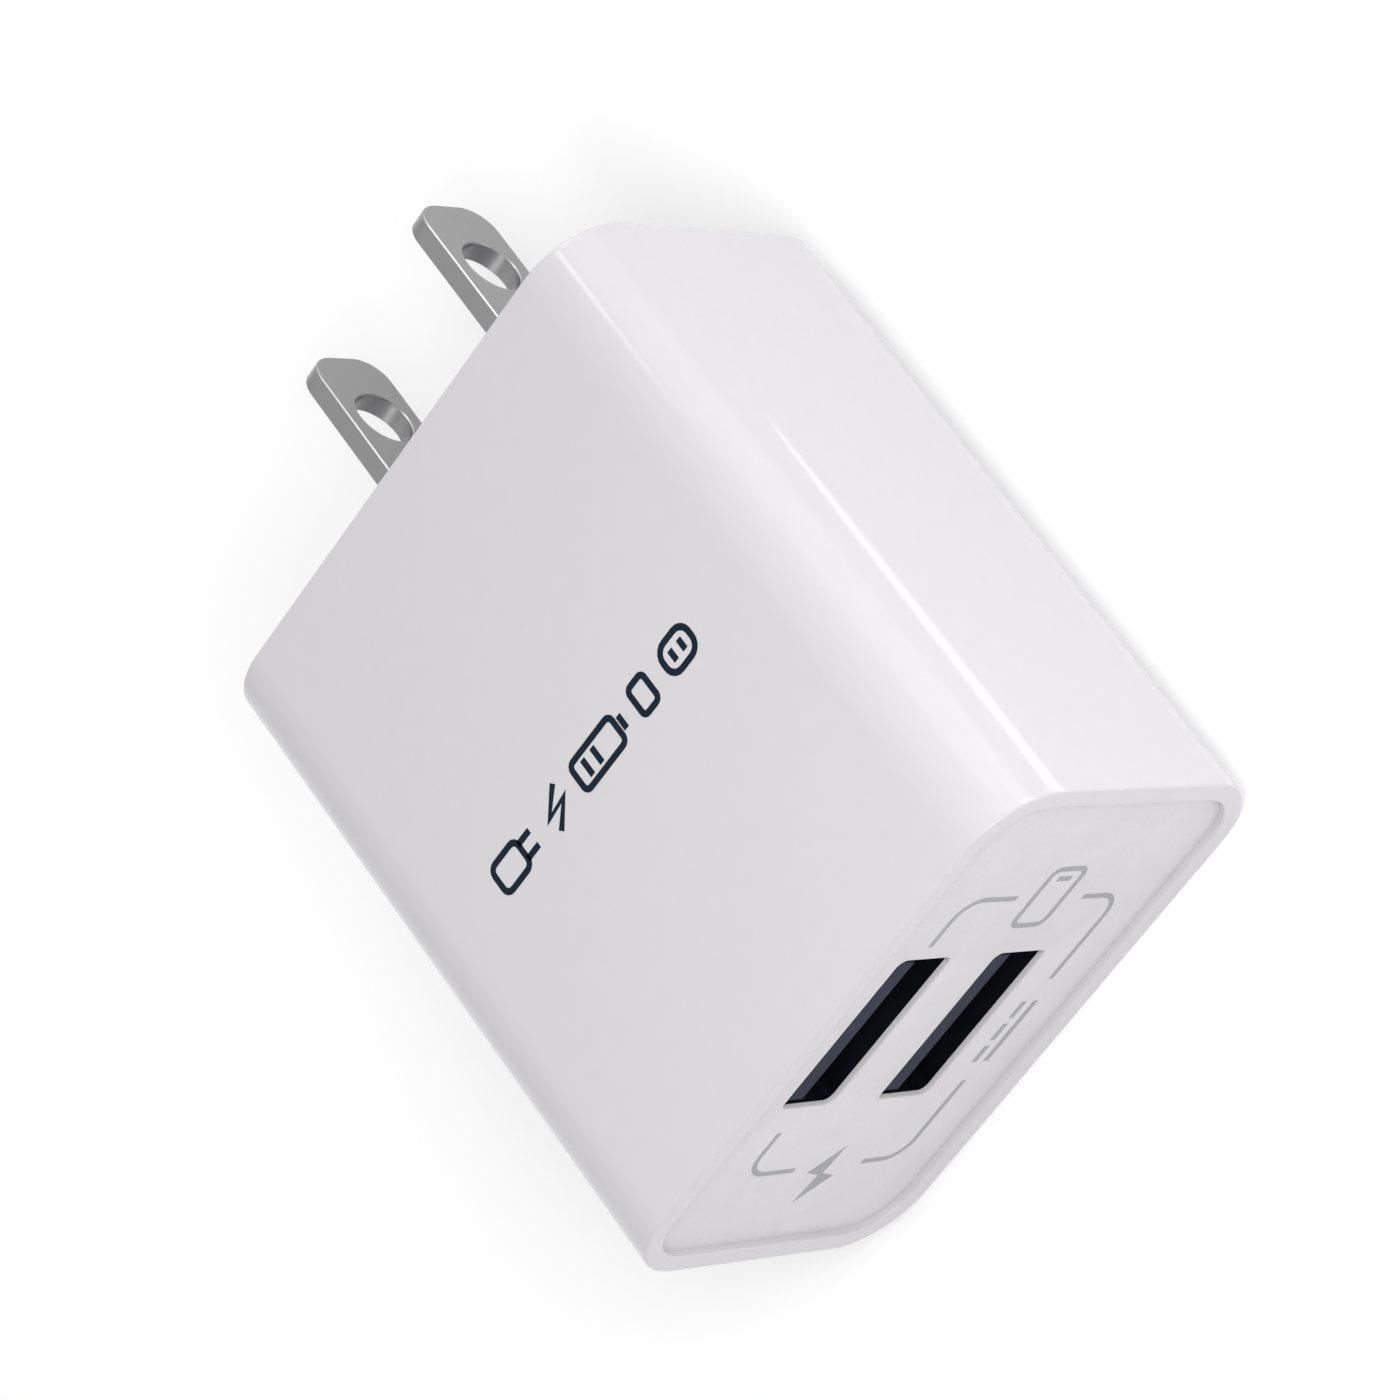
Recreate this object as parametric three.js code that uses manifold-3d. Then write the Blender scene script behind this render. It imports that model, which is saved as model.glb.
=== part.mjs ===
// A two-port USB wall charger with two fixed flat blades, as an assembly of separate pieces.
// Millimetres, +Z up. The origin is the centre of the face that meets the wall outlet, between the
// blades. +Y points into the wall, along the blades. +Z is the normal of the wide printed face, and the
// charger also lies on a table on the opposite face. The USB sockets open towards -Y.
import * as THREE from "three";
import { mergeVertices } from "three/addons/utils/BufferGeometryUtils.js";
import Module from "manifold-3d";

const wasm = await Module();
wasm.setup();

// ---- Driving dimensions ----
const FIT = 0.05; // assembly gap between neighbouring pieces
const LAP = 1; // how far a cutting body runs past the face that it cuts

// The casing's narrow sides have a slight draft, so it is wider at the wall end.
const BODY = { wallWidth: 40.25, portWidth: 39.8, length: 45.2, depth: 24.2, radius: 4.8 };
const END_FILLET = 0.25;
const SHELL_WALL = 2;
const END_WALL = 2.2;
const MOUTH = { width: 37.16, height: 21.7, radius: 3.5 }; // the opening that the port panel closes
const RAIL = { reach: 1.1, thickness: 0.7 };

const PANEL = { recess: 0.5, thickness: 1.7, lip: 0.4, chamfer: 0.1 };

// Blades of a two-pin 125 V plug, on their standard 12.7 mm spacing.
const BLADE = { spacing: 12.7, width: 6.2, thickness: 1.4, reach: 16.2, tipRadius: 2.1 };
const BLADE_HOLE = { radius: 2.05, distance: 10.85 };
const BLADE_TAIL = { width: 4.6, shoulder: 1.2, reach: 8.5 };
const WINDOW = { width: 27, height: 11, radius: 2 };
const CARRIER = { width: 31, height: 14.2, thickness: 2, radius: 2, sleeveReach: 1.6 };
const SPRING = { thickness: 0.3, width: 2.2, y: -6.1 };

const PORT = { width: 12.3, height: 4.6, radius: 0.55, x: -0.25, z: [6.3, -2.35] };
const SOCKET = { width: 12.5, height: 5.12, sheet: 0.3, radius: 0.6 };
const TONGUE = { width: 11.4, thickness: 1.84, tip: 1.2, top: 1.7, recess: 0.3, taper: 0.8 };
const TONGUE_BLOCK = 4;
const CONTACT = { thickness: 0.25, width: 1, x: [-3.5, -1, 1, 3.5], bump: 0.5 };
const SHELL_LEG = { width: 1.6, reach: 2 };

const BOARD_THICKNESS = 1.2;
const PORT_BOARD = { width: 34.6, height: 18.6, radius: 2, front: -30.2 };
const MAIN_BOARD = { width: 34.6, top: -7, wallEnd: -5, gap: 0.1 };
const LINK_PIN = { side: 0.6, x: [-7.5, -5.5, -3.5, -1.5], rise: 0.7, leg: 1, reach: 1 };
const LEAD_REACH = 2; // how far leads run below the seat of a part: the board and a cut tail

// ---- Derived places ----
const CAVITY_HALF_WIDTH = BODY.portWidth / 2 - SHELL_WALL;
const HALF_DEPTH = BODY.depth / 2;
const PANEL_FRONT = -BODY.length + PANEL.recess;
const PANEL_BACK = PANEL_FRONT + PANEL.thickness;
const LIP_BACK = PANEL_FRONT + PANEL.lip;
const SOCKET_FRONT = LIP_BACK + FIT;
const PORT_BOARD_BACK = PORT_BOARD.front + BOARD_THICKNESS;
const MAIN_BOARD_FRONT = PORT_BOARD_BACK + MAIN_BOARD.gap;
const MAIN_BOARD_BOTTOM = MAIN_BOARD.top - BOARD_THICKNESS;
const FLANGE_BACK = -END_WALL - CARRIER.thickness;

// ---- Materials ----
function finish(color, roughness, metalness = 0) {
  return new THREE.MeshStandardMaterial({ color, roughness, metalness });
}
const MATERIAL = {
  casing: finish("#e9e8ea", 0.4),
  panel: finish("#dcdbdd", 0.6),
  carrier: finish("#e2e2e2", 0.55),
  blade: finish("#999999", 0.35, 0.9),
  bronze: finish("#b98a4e", 0.35, 0.9),
  board: finish("#1f5a3a", 0.6),
  socketShell: finish("#1a1b1e", 0.4, 0.6),
  socketPlastic: finish("#3e4254", 0.55),
  gold: finish("#d2ab5a", 0.3, 1),
  aluminium: finish("#c3c5c8", 0.35, 0.9),
  darkSleeve: finish("#23262c", 0.3),
  rubber: finish("#2a2a2a", 0.85),
  ferrite: finish("#3a3a3c", 0.7),
  copper: finish("#b5652c", 0.35, 0.9),
  yellowTape: finish("#d9b53a", 0.5),
  bobbin: finish("#1d1d1f", 0.6),
  blueCeramic: finish("#2f6fae", 0.45),
  resistor: finish("#8fa9b8", 0.6),
  epoxy: finish("#18181a", 0.6),
  film: finish("#e6dfc4", 0.5),
  tin: finish("#c9cacc", 0.4, 0.9),
};

// ---- Booleans ----
function solidOf(geometry) {
  const flat = geometry.clone();
  flat.deleteAttribute("normal");
  flat.deleteAttribute("uv");
  const merged = mergeVertices(flat, 1e-4);
  const positions = merged.getAttribute("position").array;
  const triangles = new Uint32Array(merged.index.array);
  return new wasm.Manifold(
    new wasm.Mesh({ numProp: 3, vertProperties: positions, triVerts: triangles }),
  );
}

function geometryOf(solid) {
  const mesh = solid.getMesh();
  const positions = new Float32Array(mesh.numVert * 3);
  for (let i = 0; i < mesh.numVert; i++) {
    const start = i * mesh.numProp;
    positions.set(mesh.vertProperties.subarray(start, start + 3), i * 3);
  }
  const geometry = new THREE.BufferGeometry();
  geometry.setAttribute("position", new THREE.BufferAttribute(positions, 3));
  geometry.setIndex(new THREE.BufferAttribute(new Uint32Array(mesh.triVerts), 1));
  return geometry;
}

function join(first, ...others) {
  return geometryOf(others.reduce((sum, next) => sum.add(solidOf(next)), solidOf(first)));
}

function cut(body, ...tools) {
  return geometryOf(tools.reduce((rest, tool) => rest.subtract(solidOf(tool)), solidOf(body)));
}

// ---- Basic shapes ----
function roundedRectangle(width, height, radius) {
  const x = width / 2;
  const y = height / 2;
  const shape = new THREE.Shape();
  shape.moveTo(x, y - radius);
  shape.absarc(x - radius, y - radius, radius, 0, Math.PI / 2, false);
  shape.absarc(-x + radius, y - radius, radius, Math.PI / 2, Math.PI, false);
  shape.absarc(-x + radius, -y + radius, radius, Math.PI, Math.PI * 1.5, false);
  shape.absarc(x - radius, -y + radius, radius, Math.PI * 1.5, Math.PI * 2, false);
  return shape;
}

function polygon(points) {
  return new THREE.Shape(points.map(([x, y]) => new THREE.Vector2(x, y)));
}

function box(x0, x1, y0, y1, z0, z1) {
  const geometry = new THREE.BoxGeometry(x1 - x0, y1 - y0, z1 - z0);
  return geometry.translate((x0 + x1) / 2, (y0 + y1) / 2, (z0 + z1) / 2);
}

function extrude(shape, depth, options = {}) {
  return new THREE.ExtrudeGeometry(shape, { depth, bevelEnabled: false, curveSegments: 4, ...options });
}

// Extrudes a shape drawn in X and Z along Y, from y0 to y1.
function alongY(shape, y0, y1, options) {
  return extrude(shape, y1 - y0, options).rotateX(Math.PI / 2).translate(0, y1, 0);
}

// Extrudes a shape drawn in Y and Z along X, from x0 to x1.
function alongX(shape, x0, x1, options) {
  const geometry = extrude(shape, x1 - x0, options);
  return geometry.rotateX(Math.PI / 2).rotateZ(Math.PI / 2).translate(x0, 0, 0);
}

// Extrudes a shape drawn in X and Y along Z, from z0 to z1.
function alongZ(shape, z0, z1, options) {
  return extrude(shape, z1 - z0, options).translate(0, 0, z0);
}

// A rounded bar along Y whose end edges are filleted.
function filletedBar(width, height, radius, y0, y1, fillet) {
  const options = {
    bevelEnabled: true,
    bevelSize: fillet,
    bevelThickness: fillet,
    bevelOffset: -fillet,
    bevelSegments: 3,
  };
  return alongY(roundedRectangle(width, height, radius), y0 + fillet, y1 - fillet, options);
}

// A round bar along Z.
function rod(radius, z0, z1, x = 0, y = 0, sides = 8) {
  const geometry = new THREE.CylinderGeometry(radius, radius, z1 - z0, sides);
  return geometry.rotateX(Math.PI / 2).translate(x, y, (z0 + z1) / 2);
}

// A turned body about Z. The profile is a list of [radius, height] that closes on the axis or on itself.
function turned(profile, sides = 16) {
  const points = profile.map(([radius, height]) => new THREE.Vector2(radius, height));
  return new THREE.LatheGeometry(points, sides).rotateX(Math.PI / 2);
}

// The outline of a bent strip of one thickness along a line of points.
function stripOutline(line, thickness) {
  const half = thickness / 2;
  const points = line.map(([x, y]) => new THREE.Vector2(x, y));
  const sides = [[], []];
  points.forEach((point, i) => {
    const before = points[Math.max(i - 1, 0)];
    const after = points[Math.min(i + 1, points.length - 1)];
    const arriving = (i > 0 ? point.clone().sub(before) : after.clone().sub(point)).normalize();
    const leaving = (after !== point ? after.clone().sub(point) : arriving.clone()).normalize();
    const middle = arriving.clone().add(leaving).normalize();
    const normal = new THREE.Vector2(-middle.y, middle.x);
    const offset = half / middle.dot(arriving);
    sides[0].push(point.clone().addScaledVector(normal, offset));
    sides[1].push(point.clone().addScaledVector(normal, -offset));
  });
  return new THREE.Shape([...sides[0], ...sides[1].reverse()]);
}

function node(name, geometry, material) {
  const mesh = new THREE.Mesh(geometry, material);
  mesh.name = name;
  return mesh;
}

function groupAt(position, ...children) {
  const group = new THREE.Group();
  group.position.set(...position);
  group.add(...children);
  return group;
}

// ---- Casing ----
// Moves both narrow sides in along the length, from the wall end's width to the port end's width.
function drafted(geometry) {
  const slope = (BODY.wallWidth - BODY.portWidth) / 2 / BODY.length;
  const positions = geometry.getAttribute("position");
  for (let i = 0; i < positions.count; i++) {
    const x = positions.getX(i);
    positions.setX(i, x + Math.sign(x) * slope * positions.getY(i));
  }
  return geometry;
}

function outerShell() {
  const { wallWidth, length, depth, radius } = BODY;
  const body = drafted(filletedBar(wallWidth, depth, radius, -length, 0, END_FILLET));
  const cavity = alongY(
    roundedRectangle(2 * CAVITY_HALF_WIDTH, depth - 2 * SHELL_WALL, radius - SHELL_WALL),
    PANEL_BACK - LAP,
    -END_WALL,
  );
  const mouth = alongY(
    roundedRectangle(MOUTH.width, MOUTH.height, MOUTH.radius),
    -length - LAP,
    PANEL_BACK,
  );
  const { width: windowWidth, height: windowHeight, radius: windowRadius } = WINDOW;
  const window = alongY(roundedRectangle(windowWidth, windowHeight, windowRadius), -END_WALL - LAP, LAP);
  const sleeve = cut(body, cavity, mouth, window);
  return join(sleeve, ...boardRails());
}

// Two pairs of rails inside the narrow sides hold the edges of the main board.
function boardRails() {
  const outer = CAVITY_HALF_WIDTH + SHELL_WALL / 2;
  const inner = CAVITY_HALF_WIDTH - RAIL.reach;
  const y0 = MAIN_BOARD_FRONT + 1;
  const y1 = MAIN_BOARD.wallEnd - 1;
  const above = MAIN_BOARD.top + FIT;
  const below = MAIN_BOARD_BOTTOM - FIT;
  return [above, below - RAIL.thickness].flatMap((z) => [
    box(inner, outer, y0, y1, z, z + RAIL.thickness),
    box(-outer, -inner, y0, y1, z, z + RAIL.thickness),
  ]);
}

// The panel closes the port end. Each opening has a chamfer, a thin lip and a seat for its socket.
function portPanel() {
  const { width, height, radius } = MOUTH;
  const plate = alongY(
    roundedRectangle(width - 2 * FIT, height - 2 * FIT, radius - FIT),
    PANEL_FRONT,
    PANEL_BACK,
  );
  const seatWidth = SOCKET.width + 2 * SOCKET.sheet + 4 * FIT;
  const seatHeight = SOCKET.height + 2 * SOCKET.sheet + 4 * FIT;
  const cuts = PORT.z.flatMap((z) => [
    alongY(roundedRectangle(PORT.width, PORT.height, PORT.radius), PANEL_FRONT - LAP, PANEL_BACK),
    chamferCut(PORT.width, PORT.height, PORT.radius),
    alongY(
      roundedRectangle(seatWidth, seatHeight, SOCKET.radius + SOCKET.sheet),
      LIP_BACK,
      PANEL_BACK + LAP,
    ),
  ].map((tool) => tool.translate(PORT.x, 0, z)));
  return cut(plate, ...cuts);
}

// Widens an opening in the panel's front face at 45 degrees.
function chamferCut(width, height, radius) {
  const size = PANEL.chamfer;
  const options = { bevelEnabled: true, bevelSize: size, bevelThickness: size, bevelSegments: 1 };
  return alongY(roundedRectangle(width, height, radius), PANEL_FRONT - LAP, PANEL_FRONT, options);
}

// ---- Mains blades ----
// One blade's outline in Y and Z, from its rounded tip to its narrower tail inside the casing.
function bladeOutline() {
  const { reach, tipRadius } = BLADE;
  const half = BLADE.width / 2;
  const tail = BLADE_TAIL.width / 2;
  const outline = new THREE.Shape();
  outline.moveTo(-BLADE_TAIL.reach, -tail);
  outline.lineTo(-BLADE_TAIL.shoulder, -tail);
  outline.lineTo(-BLADE_TAIL.shoulder, -half);
  outline.absarc(reach - tipRadius, -half + tipRadius, tipRadius, -Math.PI / 2, 0, false);
  outline.absarc(reach - tipRadius, half - tipRadius, tipRadius, 0, Math.PI / 2, false);
  outline.lineTo(-BLADE_TAIL.shoulder, half);
  outline.lineTo(-BLADE_TAIL.shoulder, tail);
  outline.lineTo(-BLADE_TAIL.reach, tail);
  const hole = new THREE.Path();
  for (let quarter = 0; quarter > -4; quarter--) {
    const start = (quarter * Math.PI) / 2;
    hole.absarc(BLADE_HOLE.distance, 0, BLADE_HOLE.radius, start, start - Math.PI / 2, true);
  }
  outline.holes.push(hole);
  return outline;
}

function blade(side, name) {
  const geometry = alongX(bladeOutline(), -BLADE.thickness / 2, BLADE.thickness / 2);
  const mesh = node(name, geometry, MATERIAL.blade);
  mesh.position.x = (side * BLADE.spacing) / 2;
  return mesh;
}

// The carrier fills the casing's window flush with the wall face, and its flange sits inside.
function bladeCarrier() {
  const { width, height, radius } = WINDOW;
  const boss = alongY(
    roundedRectangle(width - 2 * FIT, height - 2 * FIT, radius - FIT),
    -END_WALL - LAP,
    0,
  );
  const flange = alongY(
    roundedRectangle(CARRIER.width, CARRIER.height, CARRIER.radius),
    FLANGE_BACK,
    -END_WALL - FIT,
  );
  const sleeves = [];
  const slots = [];
  for (const side of [-1, 1]) {
    const x = (side * BLADE.spacing) / 2;
    const slotHalf = BLADE.thickness / 2 + FIT;
    const frontHalf = BLADE.width / 2 + FIT;
    const tailHalf = BLADE_TAIL.width / 2 + FIT;
    const shoulder = -BLADE_TAIL.shoulder - FIT;
    sleeves.push(
      alongY(
        roundedRectangle(4 * slotHalf, 2 * frontHalf + 2, 1),
        FLANGE_BACK - CARRIER.sleeveReach,
        FLANGE_BACK + LAP,
      ).translate(x, 0, 0),
    );
    slots.push(box(x - slotHalf, x + slotHalf, shoulder, LAP, -frontHalf, frontHalf));
    slots.push(box(x - slotHalf, x + slotHalf, -BLADE_TAIL.reach, LAP, -tailHalf, tailHalf));
  }
  return cut(join(boss, flange, ...sleeves), ...slots);
}

// A bent strip that stands on the main board and presses on the inner face of one blade's tail.
function contactSpring(side, name) {
  const bladeFace = BLADE.spacing / 2 - BLADE.thickness / 2;
  const touch = bladeFace - SPRING.thickness / 2 - 0.01;
  const foot = MAIN_BOARD.top + SPRING.thickness / 2;
  const line = [
    [touch - 3.2, foot],
    [touch - 0.9, foot],
    [touch - 0.9, -3.4],
    [touch - 0.15, -0.9],
    [touch, 0],
    [touch - 0.15, 0.9],
    [touch - 0.8, 2],
  ].map(([x, z]) => [side * x, z]);
  const geometry = alongY(stripOutline(line, SPRING.thickness), SPRING.y - SPRING.width, SPRING.y);
  return node(name, geometry, MATERIAL.bronze);
}

// ---- Packaged parts, each drawn standing on z = 0 ----
// An electrolytic capacitor: a crimped can, a printed sleeve, and a rubber seal with two leads.
function electrolytic(name, radius, height, position, leadPitch) {
  const canRadius = radius - 0.15;
  const sealRadius = canRadius - 0.3;
  const sealHeight = 1.4;
  const can = turned([
    [0, sealHeight],
    [sealRadius, sealHeight],
    [sealRadius, 0.15],
    [canRadius, 0.15],
    [canRadius, 1.5],
    [canRadius - 0.35, 1.9],
    [canRadius, 2.3],
    [canRadius, height - 0.6],
    [canRadius - 0.5, height - 0.15],
    [0, height - 0.15],
  ]);
  const sleeve = turned([
    [canRadius + 0.03, 0.2],
    [radius, 0.2],
    [radius, height - 0.5],
    [radius - 0.5, height],
    [radius - 1.4, height],
    [radius - 1.4, height - 0.1],
    [canRadius - 0.45, height - 0.1],
    [canRadius + 0.03, height - 0.58],
    [canRadius + 0.03, 0.2],
  ]);
  const rubber = rod(sealRadius - 0.02, 0, sealHeight - 0.02, 0, 0, 16);
  const leads = [-1, 1].map((side) => rod(0.3, -LEAD_REACH, 1, (side * leadPitch) / 2));
  return groupAt(
    position,
    node(name + "_can", can, MATERIAL.aluminium),
    node(name + "_sleeve", sleeve, MATERIAL.darkSleeve),
    node(name + "_seal", join(rubber, ...leads), MATERIAL.rubber),
  );
}

// A moulded package with bent leads along its two long sides, which run along X.
function gullWingPackage(length, width, height, leadsPerSide, pitch, leadWidth) {
  const standoff = 0.1;
  const draft = 0.12;
  const half = width / 2;
  const body = alongX(
    polygon([
      [-half + draft, standoff],
      [half - draft, standoff],
      [half, height * 0.45],
      [half - draft, height],
      [-half + draft, height],
      [-half, height * 0.45],
    ]),
    -length / 2,
    length / 2,
  );
  const sheet = 0.2;
  const lead = stripOutline(
    [
      [half - 0.5, height * 0.45],
      [half + 0.35, height * 0.45],
      [half + 0.55, sheet / 2],
      [half + 1.05, sheet / 2],
    ],
    sheet,
  );
  const leads = [];
  for (let i = 0; i < leadsPerSide; i++) {
    const x = (i - (leadsPerSide - 1) / 2) * pitch;
    const oneSide = alongX(lead, x - leadWidth / 2, x + leadWidth / 2);
    leads.push(oneSide, oneSide.clone().rotateZ(Math.PI).translate(2 * x, 0, 0));
  }
  return join(body, ...leads);
}

// An axial resistor lying along X, its lead bent down into the board at both ends.
function axialResistor(span, height) {
  const bend = 0.8;
  const half = span / 2;
  const path = new THREE.CurvePath();
  const corner = (x, side) =>
    new THREE.QuadraticBezierCurve3(
      new THREE.Vector3(x, 0, height - (side > 0 ? 0 : bend)),
      new THREE.Vector3(side * half, 0, height),
      new THREE.Vector3(side * (half - (side > 0 ? 0 : bend)), 0, height - (side > 0 ? bend : 0)),
    );
  path.add(
    new THREE.LineCurve3(
      new THREE.Vector3(-half, 0, -LEAD_REACH),
      new THREE.Vector3(-half, 0, height - bend),
    ),
  );
  path.add(corner(-half, -1));
  path.add(
    new THREE.LineCurve3(
      new THREE.Vector3(-half + bend, 0, height),
      new THREE.Vector3(half - bend, 0, height),
    ),
  );
  path.add(corner(half - bend, 1));
  path.add(
    new THREE.LineCurve3(
      new THREE.Vector3(half, 0, height - bend),
      new THREE.Vector3(half, 0, -LEAD_REACH),
    ),
  );
  const section = new THREE.Shape().absarc(0, 0, 0.3, 0, Math.PI * 2, false);
  const lead = new THREE.ExtrudeGeometry(section, {
    extrudePath: path,
    steps: 24,
    curveSegments: 4,
    bevelEnabled: false,
  });
  const barrel = turned([
    [0, -3.4],
    [1.1, -3.4],
    [1.5, -3],
    [1.5, -2.1],
    [1.25, -1.7],
    [1.25, 1.7],
    [1.5, 2.1],
    [1.5, 3],
    [1.1, 3.4],
    [0, 3.4],
  ], 16);
  return join(lead, barrel.rotateY(Math.PI / 2).translate(0, 0, height));
}

// A ceramic disc capacitor standing in the XZ plane on two leads.
function discCapacitor(radius, thickness, leadPitch) {
  const half = thickness / 2;
  const disc = turned([
    [0, -half],
    [radius - 0.6, -half],
    [radius - 0.15, -half + 0.4],
    [radius, 0],
    [radius - 0.15, half - 0.4],
    [radius - 0.6, half],
    [0, half],
  ]);
  const centre = radius + 0.5;
  const leads = [-1, 1].map((side) => rod(0.3, -LEAD_REACH, centre, (side * leadPitch) / 2));
  return join(disc.rotateX(Math.PI / 2).translate(0, 0, centre), ...leads);
}

// A drum-shaped ferrite core on two leads, and the coil that fills its waist.
function drumChoke(position) {
  const height = 7;
  const core = turned([
    [0, 0],
    [3, 0],
    [3, 1],
    [1.5, 1.2],
    [1.5, height - 1.2],
    [3, height - 1],
    [3, height],
    [0, height],
  ]);
  const leads = [-1, 1].map((side) => rod(0.3, -LEAD_REACH, 0.5, side * 1.5));
  const coil = turned([
    [1.55, 1.3],
    [2.7, 1.3],
    [2.8, 2],
    [2.8, height - 2],
    [2.7, height - 1.3],
    [1.55, height - 1.3],
    [1.55, 1.3],
  ]);
  return groupAt(
    position,
    node("filter_choke_core", join(core, ...leads), MATERIAL.ferrite),
    node("filter_choke_winding", coil, MATERIAL.copper),
  );
}

// ---- Transformer ----
const CORE = { width: 13.2, thickness: 6, height: 12.4, back: 2.2, outerLeg: 1.7, centreLeg: 2.8, lift: 1.5 };
const BOBBIN = { wall: 0.7, flange: 0.7, depth: 12.8, windowGap: 0.15, pins: [-4.5, -1.5, 1.5, 4.5] };
const TAPE = { width: 4, thickness: 0.15 };

// One half of the core: a back with three legs, drawn in X and Z with the back at the bottom.
function coreHalf() {
  const half = CORE.width / 2;
  const centre = CORE.centreLeg / 2;
  const inner = half - CORE.outerLeg;
  const legTop = CORE.height / 2 - FIT;
  const outline = polygon([
    [-half, 0],
    [half, 0],
    [half, legTop],
    [inner, legTop],
    [inner, CORE.back],
    [centre, CORE.back],
    [centre, legTop],
    [-centre, legTop],
    [-centre, CORE.back],
    [-inner, CORE.back],
    [-inner, legTop],
    [-half, legTop],
  ]);
  return alongY(outline, -CORE.thickness / 2, CORE.thickness / 2);
}

// The bobbin: a tube around the centre leg, two flanges, and two rails with the pins.
function bobbin() {
  const gap = BOBBIN.windowGap;
  const tubeX = CORE.centreLeg / 2 + gap;
  const tubeY = CORE.thickness / 2 + gap;
  const outerX = tubeX + BOBBIN.wall;
  const outerY = tubeY + BOBBIN.wall;
  const flangeX = CORE.width / 2 - CORE.outerLeg - gap;
  const flangeY = BOBBIN.depth / 2;
  const bottom = CORE.lift + CORE.back + FIT;
  const top = CORE.lift + CORE.height - CORE.back - FIT;
  const railInner = CORE.thickness / 2 + gap;
  const railX = CORE.width / 2;
  const pieces = [
    box(-flangeX, flangeX, -flangeY, flangeY, bottom, bottom + BOBBIN.flange),
    box(-flangeX, flangeX, -flangeY, flangeY, top - BOBBIN.flange, top),
    box(-outerX, outerX, -outerY, outerY, bottom, top),
  ];
  for (const side of [-1, 1]) {
    const y0 = Math.min(side * railInner, side * flangeY);
    const y1 = Math.max(side * railInner, side * flangeY);
    pieces.push(box(-railX, railX, y0, y1, 0.5, bottom + BOBBIN.flange));
    BOBBIN.pins.forEach((x) => pieces.push(rod(0.3, -LEAD_REACH, 1, x, side * (flangeY - 1.2))));
  }
  const [first, ...rest] = pieces;
  return cut(join(first, ...rest), box(-tubeX, tubeX, -tubeY, tubeY, bottom - LAP, top + LAP));
}

// The taped winding: a rounded ring between the flanges.
function winding() {
  const gap = BOBBIN.windowGap;
  const innerX = CORE.centreLeg / 2 + gap + BOBBIN.wall + FIT;
  const innerY = CORE.thickness / 2 + gap + BOBBIN.wall + FIT;
  const outerX = CORE.width / 2 - CORE.outerLeg - 2 * gap;
  const outerY = BOBBIN.depth / 2 - 0.5;
  const bottom = CORE.lift + CORE.back + BOBBIN.flange + 2 * FIT;
  const top = CORE.lift + CORE.height - CORE.back - BOBBIN.flange - 2 * FIT;
  const ring = alongZ(roundedRectangle(2 * outerX, 2 * outerY, 2), bottom, top);
  const hole = alongZ(roundedRectangle(2 * innerX, 2 * innerY, 0.2), bottom - LAP, top + LAP);
  return cut(ring, hole);
}

// A band of tape around both core halves.
function coreTape() {
  const x = CORE.width / 2 + FIT;
  const z = CORE.height / 2 + FIT;
  const y = TAPE.width / 2;
  const outer = roundedRectangle(2 * (x + TAPE.thickness), 2 * (z + TAPE.thickness), TAPE.thickness);
  const band = cut(alongY(outer, -y, y), box(-x, x, -y - LAP, y + LAP, -z, z));
  return band.translate(0, 0, CORE.lift + CORE.height / 2);
}

function transformer(position) {
  const lower = node("transformer_core_lower", coreHalf(), MATERIAL.ferrite);
  lower.position.z = CORE.lift;
  const upper = node("transformer_core_upper", coreHalf(), MATERIAL.ferrite);
  upper.rotation.y = Math.PI;
  upper.position.z = CORE.lift + CORE.height;
  return groupAt(
    position,
    lower,
    upper,
    node("transformer_bobbin", bobbin(), MATERIAL.bobbin),
    node("transformer_winding", winding(), MATERIAL.yellowTape),
    node("transformer_tape", coreTape(), MATERIAL.yellowTape),
  );
}

// ---- Where the parts stand on the main board ----
const INPUT_CAPACITOR = { radius: 4, height: 12.5, pitch: 3.5, x: -12.6, y: [-11, -19.6] };
const CHOKE = { x: -4.6, y: -18.6 };
const RESISTOR = { x: 11.6, y: -10.2, span: 9.6, height: 1.7 };
const Y_CAPACITOR = { x: -4.6, y: -25.1, radius: 3.6, thickness: 2.6, pitch: 5 };
const TRANSFORMER = { x: 8.4, y: -20 };
const BRIDGE = { x: -2.6, y: -12 };
const OPTOCOUPLER = { x: -13, y: -26.4 };
const CONTROLLER = { x: -1, y: -14 };
// Parts on the port board, beside the sockets.
const OUTPUT_CAPACITOR = { radius: 3.15, height: 11, pitch: 2.5, x: -12.4, z: [4.9, -3.1] };
const RECTIFIER = { x: 12.4, z: 4.6 };
const PORT_CHIP = { x: 12.4, z: -2.2 };

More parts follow.
